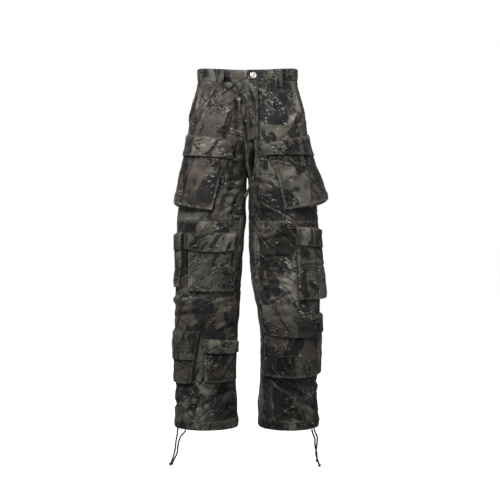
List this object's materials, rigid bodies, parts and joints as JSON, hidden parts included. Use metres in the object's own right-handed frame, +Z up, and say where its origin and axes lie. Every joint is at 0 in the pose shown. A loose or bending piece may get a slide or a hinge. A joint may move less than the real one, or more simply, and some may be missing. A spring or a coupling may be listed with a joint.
{
  "type": "cargo trousers",
  "caption": "Wide-leg camouflage cargo trousers, worn and hollow, with stacked bellows pockets, belt loops, a waist drawcord and drawcord hems.",
  "frame": {"origin": "middle of the waist opening, half way up the waistband at the side seams, where the wearer's waist holds the garment", "axes": "+Z up towards the waistband, -Y towards the front with the fly, +X towards the wearer's left leg"},
  "size_m": [0.4826, 0.2588, 1.2024],
  "materials": {
    "camo_twill": "matte",
    "cord_braid": "matte",
    "button_metal": "polished"
  },
  "bodies": {
    "root": {"front_upper_right": "camo_twill", "front_thigh_right": "camo_twill", "front_lower_right": "camo_twill", "back_right": "camo_twill", "hem_casing_right": "camo_twill", "waistband_front_right": "camo_twill", "front_upper_left": "camo_twill", "front_thigh_left": "camo_twill", "front_lower_left": "camo_twill", "back_left": "camo_twill", "hem_casing_left": "camo_twill", "waistband_front_left": "camo_twill", "waistband_back": "camo_twill", "hip_pocket_right": "camo_twill", "hip_pocket_flap_right": "camo_twill", "hip_pocket_left": "camo_twill", "hip_pocket_flap_left": "camo_twill", "knee_front_pocket_right": "camo_twill", "knee_front_pocket_flap_right": "camo_twill", "knee_side_pocket_right": "camo_twill", "knee_side_pocket_flap_right": "camo_twill", "knee_side_pocket_left": "camo_twill", "knee_side_pocket_flap_left": "camo_twill", "calf_inner_pocket_right": "camo_twill", "calf_inner_pocket_flap_right": "camo_twill", "calf_outer_pocket_right": "camo_twill", "calf_outer_pocket_flap_right": "camo_twill", "calf_front_pocket_left": "camo_twill", "calf_front_pocket_flap_left": "camo_twill", "belt_loop_front_right": "camo_twill", "belt_loop_front_left": "camo_twill", "belt_loop_side_right": "camo_twill", "belt_loop_side_left": "camo_twill", "belt_loop_back": "camo_twill", "fly_placket": "camo_twill", "slash_pocket_welt_right": "camo_twill", "slash_pocket_welt_left": "camo_twill", "waist_button": "button_metal", "waist_cord_right": "camo_twill", "waist_cord_left": "camo_twill", "hem_cord_right_outer": "cord_braid", "hem_cord_right_inner": "cord_braid", "hem_cord_left_outer": "cord_braid", "hem_cord_left_inner": "cord_braid"}
  },
  "joints": []
}
